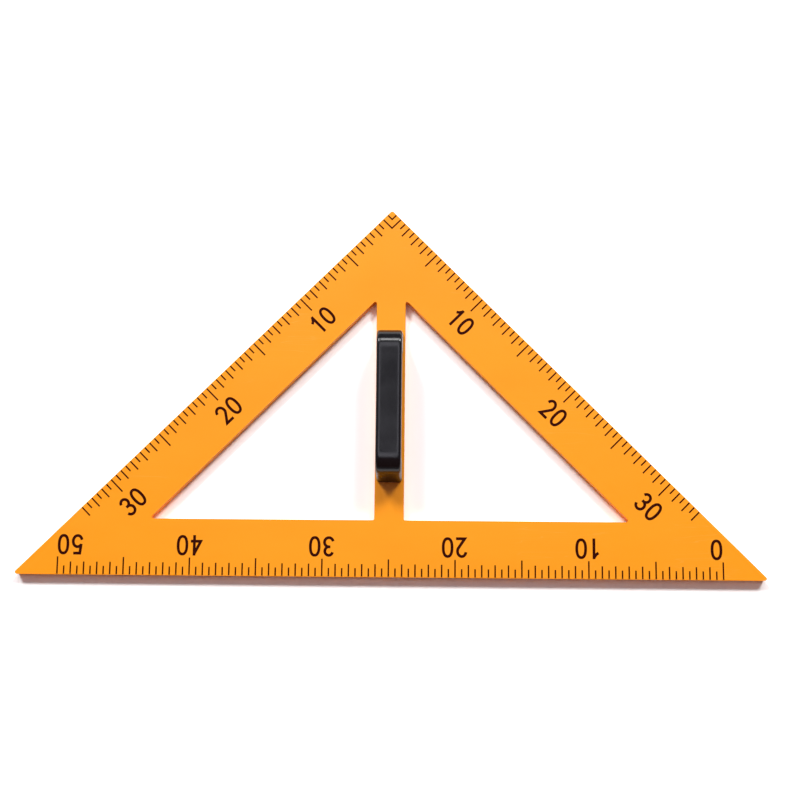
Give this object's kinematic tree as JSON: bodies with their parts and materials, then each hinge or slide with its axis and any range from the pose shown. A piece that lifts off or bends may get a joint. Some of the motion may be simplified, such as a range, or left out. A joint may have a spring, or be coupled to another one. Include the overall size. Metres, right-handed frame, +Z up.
{
  "type": "set square",
  "caption": "Large flat 45 degree teaching set square with triangular windows, printed centimetre scales and a bow handle on its centre bar.",
  "frame": {"origin": "under the middle of the outline, in the plane that the back rests on", "axes": "+X along the long edge, +Y towards the right-angled corner, +Z up out of the printed face"},
  "size_m": [0.5642, 0.2836, 0.045],
  "materials": {
    "orange_plastic": "smooth moulded plastic with a soft gloss",
    "black_plastic": "fine-grained moulded plastic with a satin gloss",
    "printing_ink": "screen-printed ink",
    "zinc_steel": "zinc-plated screw steel"
  },
  "bodies": {
    "root": {"plate": "orange_plastic", "handle": "black_plastic", "lower_screw": "zinc_steel", "upper_screw": "zinc_steel", "base_ticks": "printing_ink", "base_numerals": "printing_ink", "left_ticks": "printing_ink", "left_numerals": "printing_ink", "right_ticks": "printing_ink", "right_numerals": "printing_ink"}
  },
  "joints": []
}
